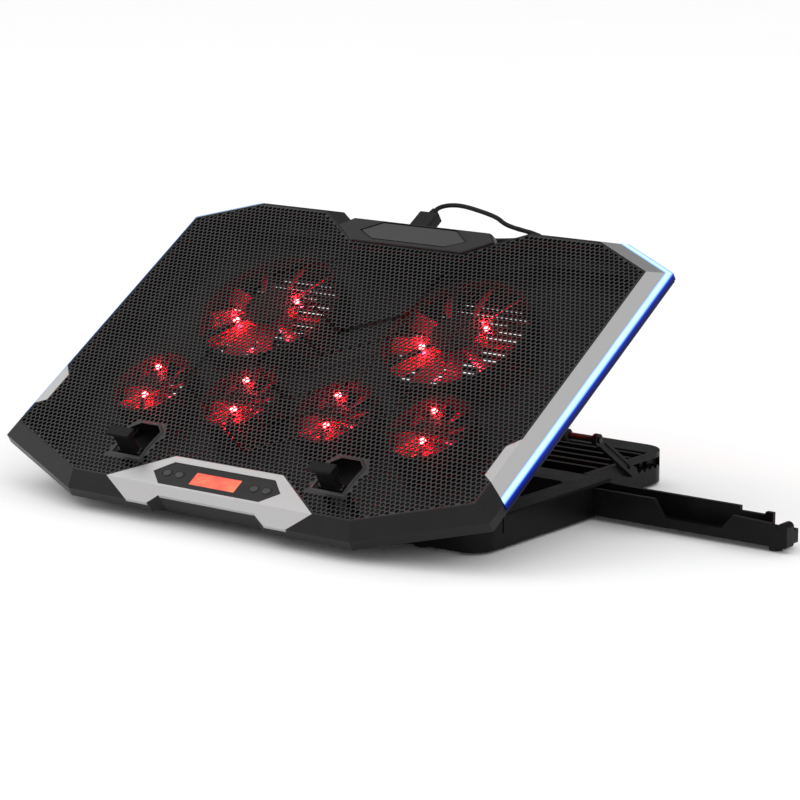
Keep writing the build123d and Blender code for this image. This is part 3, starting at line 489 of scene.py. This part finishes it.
# ---------------------------------------------------------------- perforated sheet
pitch = 3.6          # between holes, along a row
web = 0.85           # metal left between two holes
sheet_top = -0.2     # the sheet sits this far below the bezel
sheet_thick = 0.6
cell_radius = pitch / sqrt(3)
hole_scale = (pitch - web) / pitch
row_step = pitch * sqrt(3) / 2
border = 0.5         # unpunched strip along the outline
rim_width = 2.0      # raised rim around the openings of the laptop stops
rim_crest = 0.9
rim_height = 0.7
rim_gap = 0.1        # between a rim and the nearest whole cell
least_hole = 0.3     # a hole cut by the border is punched if this share of it is left
press_depth = 0.9    # of each pressed step
press_width = 1.1
merge_steps = 50     # points closer than 1 / merge_steps are one point

# the pattern pressed into the sheet: a shield, and three V-shaped bands down its middle
shield_half = [(0, -61.7), (83, -13), (83, 64), (87, 73), (87, 92), (47, 114), (42, 114), (41, 75), (0, 51)]
shield = shield_half + [(-u, v) for u, v in reversed(shield_half[1:-1])]
band_half = 41       # half of a band's width
band_rise = 24.5     # from the tip of its V to the ends of its arms
bands = []
for top, bottom in ((51, 28.7), (12, -13), (-37.5, -61)):
    bands.append([(-band_half, bottom + band_rise), (0, bottom), (band_half, bottom + band_rise),
                  (band_half, top + band_rise), (0, top), (-band_half, top + band_rise)])


def pressed(polygon, u, v):
    """0 outside a polygon to 1 inside it, with sloping sides."""
    signed = np.where(inside_all(polygon, u, v), 1, -1) * edge_distance(polygon, u, v)
    return np.clip(signed / press_width + 0.5, 0, 1)


def relief(u, v, stops):
    """Height of the sheet's pressed pattern."""
    height = -press_depth * pressed(shield, u, v)
    for band in bands:
        height = height - press_depth * pressed(band, u, v)
    for stop in stops:
        away = edge_distance(stop, u, v)
        height = height + rim_height * np.clip((rim_width - away) / (rim_width - rim_crest), 0, 1)
    return height


def perforated_sheet():
    """The top sheet: a honeycomb of real holes cut short at the border, with creases and stop rims."""
    loops = face_loops("mesh_panel", N)
    outline = loops[0] if area(loops[0]) > 0 else loops[0][::-1]
    stops = [loop if area(loop) > 0 else loop[::-1] for loop in loops[1:]]
    field = offset(outline, -border)
    turns = [radians(90 + 60 * k) for k in range(6)]
    corner_steps = [(cell_radius * cos(turn), cell_radius * sin(turn)) for turn in turns]
    stop_reach = rim_width + cell_radius + rim_gap
    points, index = [], {}

    def point(u, v):
        key = (round(u * merge_steps), round(v * merge_steps))
        if key not in index:
            index[key] = len(points)
            points.append((u, v))
        return index[key]

    # a whole cell keeps its hexagon and hole; a cell at the border keeps what is left of its hole
    flat_faces, walls, whole, partial, border_edges = [], [], set(), {}, {}
    top_u, top_v = max(u for u, v in outline), max(v for u, v in outline)
    low_v = min(v for u, v in outline)
    for row in range(int(low_v / row_step) - 1, int(top_v / row_step) + 2):
        for column in range(-int(top_u / pitch) - 2, int(top_u / pitch) + 3):
            cu = (column + (row % 2) / 2) * pitch
            cv = row * row_step
            corners = [(cu + du, cv + dv) for du, dv in corner_steps]
            hole = [(cu + du * hole_scale, cv + dv * hole_scale) for du, dv in corner_steps]
            near_stop = any(inside(stop, cu, cv) or edge_distance(stop, cu, cv) < stop_reach
                            for stop in stops)
            if all(inside(field, *corner) for corner in corners) and not near_stop:
                outer = [point(*corner) for corner in corners]
                inner = [point(*corner) for corner in hole]
                for k in range(6):
                    flat_faces.append((outer[k], outer[(k + 1) % 6], inner[(k + 1) % 6], inner[k]))
                    walls.append((inner[(k + 1) % 6], inner[k]))
                    edge = (outer[k], outer[(k + 1) % 6])
                    if edge[::-1] in border_edges:
                        del border_edges[edge[::-1]]
                    else:
                        border_edges[edge] = True
                whole.add((row, column))
            elif not near_stop:
                cut = clip(field, hole)
                if len(cut) > 2 and area(cut) > least_hole * abs(area(hole)):
                    ring = []
                    for corner in cut:
                        number = point(*corner)
                        if not ring or number != ring[-1]:
                            ring.append(number)
                    if ring[0] == ring[-1]:
                        ring.pop()
                    if len(ring) > 2:
                        partial[row, column] = cut
                        walls.extend(zip(ring[1:] + ring[:1], ring))

    # the border strip between the whole cells, the outline and the stop openings is triangulated
    ring_edges = []
    for loop, outward in [(outline, True)] + [(stop, False) for stop in stops]:
        ring = [point(*corner) for corner in loop]
        pairs = list(zip(ring, ring[1:] + ring[:1]))
        ring_edges.extend(pairs)
        walls.extend(pairs if outward else [(b, a) for a, b in pairs])
    for stop in stops:
        for amount in (rim_crest, rim_width):
            ring = [point(*corner) for corner in offset(stop, amount)]
            ring_edges.extend(zip(ring, ring[1:] + ring[:1]))
    hole_edges = []
    for cut in partial.values():
        ring = [point(*corner) for corner in cut]
        hole_edges.extend((a, b) for a, b in zip(ring, ring[1:] + ring[:1]) if a != b)
    edges = list(border_edges) + ring_edges + hole_edges
    used = sorted({number for edge in edges for number in edge})
    local = {number: k for k, number in enumerate(used)}
    made = geometry.delaunay_2d_cdt([Vector(points[number]) for number in used],
                                    [(local[a], local[b]) for a, b in edges], [], 0, 1e-5)
    back = []
    for k, place in enumerate(made[0]):
        sources = made[3][k]
        back.append(used[sources[0]] if sources else point(place.x, place.y))
    for triangle in made[2]:
        cu = sum(made[0][k].x for k in triangle) / 3
        cv = sum(made[0][k].y for k in triangle) / 3
        if not inside(outline, cu, cv) or any(inside(stop, cu, cv) for stop in stops):
            continue
        row = round(cv / row_step)
        cell = None
        best = 1e9
        for near in (row - 1, row, row + 1):
            column = round(cu / pitch - (near % 2) / 2)
            away = hypot(cu - (column + (near % 2) / 2) * pitch, cv - near * row_step)
            if away < best:
                best, cell = away, (near, column)
        if cell in whole or (cell in partial and inside(partial[cell], cu, cv)):
            continue
        flat_faces.append(tuple(back[k] for k in triangle))

    places = np.array(points)
    heights = relief(places[:, 0], places[:, 1], stops)
    count = len(points)
    vertices = [on_pad(u, v, sheet_top + h) for (u, v), h in zip(points, heights)]
    vertices += [on_pad(u, v, sheet_top - sheet_thick + h) for (u, v), h in zip(points, heights)]
    faces = []
    for face in flat_faces:
        shape = [points[k] for k in face]
        turned = face if area(shape) > 0 else face[::-1]
        faces.append(tuple(turned))
        faces.append(tuple(k + count for k in reversed(turned)))
    for a, b in walls:
        faces.append((b, a, a + count, b + count))
    return new_piece("perforated_sheet", vertices, faces, "pad", "mesh_steel", ["mesh_panel"])


perforated_sheet()

# ---------------------------------------------------------------- lamp light
small_glow = 0.14        # watts per lamp of a small fan
large_glow = 0.30        # watts per lamp of a large fan
small_fan_depth = -6     # the small fans' lamps lie above this depth, the large fans' below it
lamp_width = 5           # vertices closer than this belong to one lamp
above_lens, above_share = 1.2, 0.25
below_lens, below_share = -3.0, 0.5
over_sheet, over_share = 2.5, 0.1


def lamp_centres():
    """Centres of the lamps in the fan_lamps node, found as its loose pieces."""
    mesh = nodes["fan_lamps"].data
    groups = []
    for vertex in mesh.vertices:
        for group in groups:
            if (group[0] - vertex.co).length < lamp_width * MM:
                group.append(vertex.co.copy())
                break
        else:
            groups.append([vertex.co.copy()])
    return [sum(group, Vector()) / len(group) for group in groups]


for number, centre in enumerate(lamp_centres()):
    u, v, n = to_pad(centre)
    glow = small_glow if n > small_fan_depth else large_glow
    for lift, share in ((above_lens, above_share), (below_lens, below_share), (over_sheet - n, over_share)):
        lamp = bpy.data.lights.new("lamp_glow", "POINT")
        lamp.color = (1.0, 0.015, 0.035)
        lamp.energy = glow * share
        lamp.shadow_soft_size = 1.2 * MM
        holder = bpy.data.objects.new("lamp_glow_%d_%d" % (number, round(10 * lift + 100)), lamp)
        holder.location = centre + N * lift * MM
        bpy.context.scene.collection.objects.link(holder)
        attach(holder, "pad")

# ---------------------------------------------------------------- floor, light and camera
floor_half = 14
floor_corners = [(x * floor_half, y * floor_half, 0) for x, y in ((-1, -1), (1, -1), (1, 1), (-1, 1))]
floor_mesh = bpy.data.meshes.new("floor")
floor_mesh.from_pydata(floor_corners, [], [(0, 1, 2, 3)])
floor = bpy.data.objects.new("floor", floor_mesh)
bpy.context.scene.collection.objects.link(floor)
paper = Shader("pale_paper")
paper.set(Base_Color=paper.mix(paper.noise(300, 2.0), (0.955, 0.955, 0.955), (0.97, 0.97, 0.97)),
          Roughness=0.9, Specular_IOR_Level=0.1)
floor_mesh.materials.append(paper.material)

sky_strength = 1.02      # for everything but mirror-like reflections
world = bpy.data.worlds.new("studio")
bpy.context.scene.world = world
world.use_nodes = True
sky_tree = world.node_tree
sky = sky_tree.nodes["Background"]
sky.inputs["Color"].default_value = (1, 1, 1, 1)
# shiny surfaces see a studio that is bright in front and overhead, and dark behind the object
direction = sky_tree.nodes.new("ShaderNodeTexCoord").outputs["Generated"]
split = sky_tree.nodes.new("ShaderNodeSeparateXYZ")
sky_tree.links.new(direction, split.inputs[0])
darker_behind = sky_tree.nodes.new("ShaderNodeMapRange")
for key, number in (("From Min", 0.1), ("From Max", 0.65), ("To Min", 0.9), ("To Max", 0.2)):
    darker_behind.inputs[key].default_value = number
sky_tree.links.new(split.outputs["Y"], darker_behind.inputs["Value"])
strength = sky_tree.nodes.new("ShaderNodeMix")
sky_tree.links.new(sky_tree.nodes.new("ShaderNodeLightPath").outputs["Is Glossy Ray"], strength.inputs[0])
strength.inputs[2].default_value = sky_strength
sky_tree.links.new(darker_behind.outputs["Result"], strength.inputs[3])
sky_tree.links.new(strength.outputs[0], sky.inputs["Strength"])


def softbox(name, place, aim, width, height, power):
    """A white rectangular area light; power in watts."""
    light = bpy.data.lights.new(name, "AREA")
    light.shape = "RECTANGLE"
    light.size, light.size_y = width, height
    light.energy = power
    holder = bpy.data.objects.new(name, light)
    holder.location = place
    holder.rotation_euler = (Vector(aim) - Vector(place)).to_track_quat("-Z", "Y").to_euler()
    bpy.context.scene.collection.objects.link(holder)


softbox("key_left", (-1.6, -0.9, 1.9), (0, 0, 0.05), 1.4, 1.4, 9)
softbox("fill_right", (2.2, -0.6, 1.2), (0, 0, 0.1), 1.4, 1.2, 5)

azimuth = radians(37.6)
elevation = radians(11.85)
camera_distance = 1.894
camera_aim = on_pad(82.4, 0)     # between the pad and the end of the phone arm
away = Vector((sin(azimuth) * cos(elevation), -cos(azimuth) * cos(elevation), sin(elevation)))
lens = bpy.data.cameras.new("camera")
lens.lens = 140
lens.sensor_width = 36
lens.clip_start = 0.05
camera = bpy.data.objects.new("camera", lens)
camera.location = camera_aim + away * camera_distance
camera.rotation_euler = away.to_track_quat("Z", "Y").to_euler()
bpy.context.scene.collection.objects.link(camera)
bpy.context.scene.camera = camera
bpy.context.scene.view_settings.view_transform = "Standard"
bpy.context.scene.view_settings.look = "None"
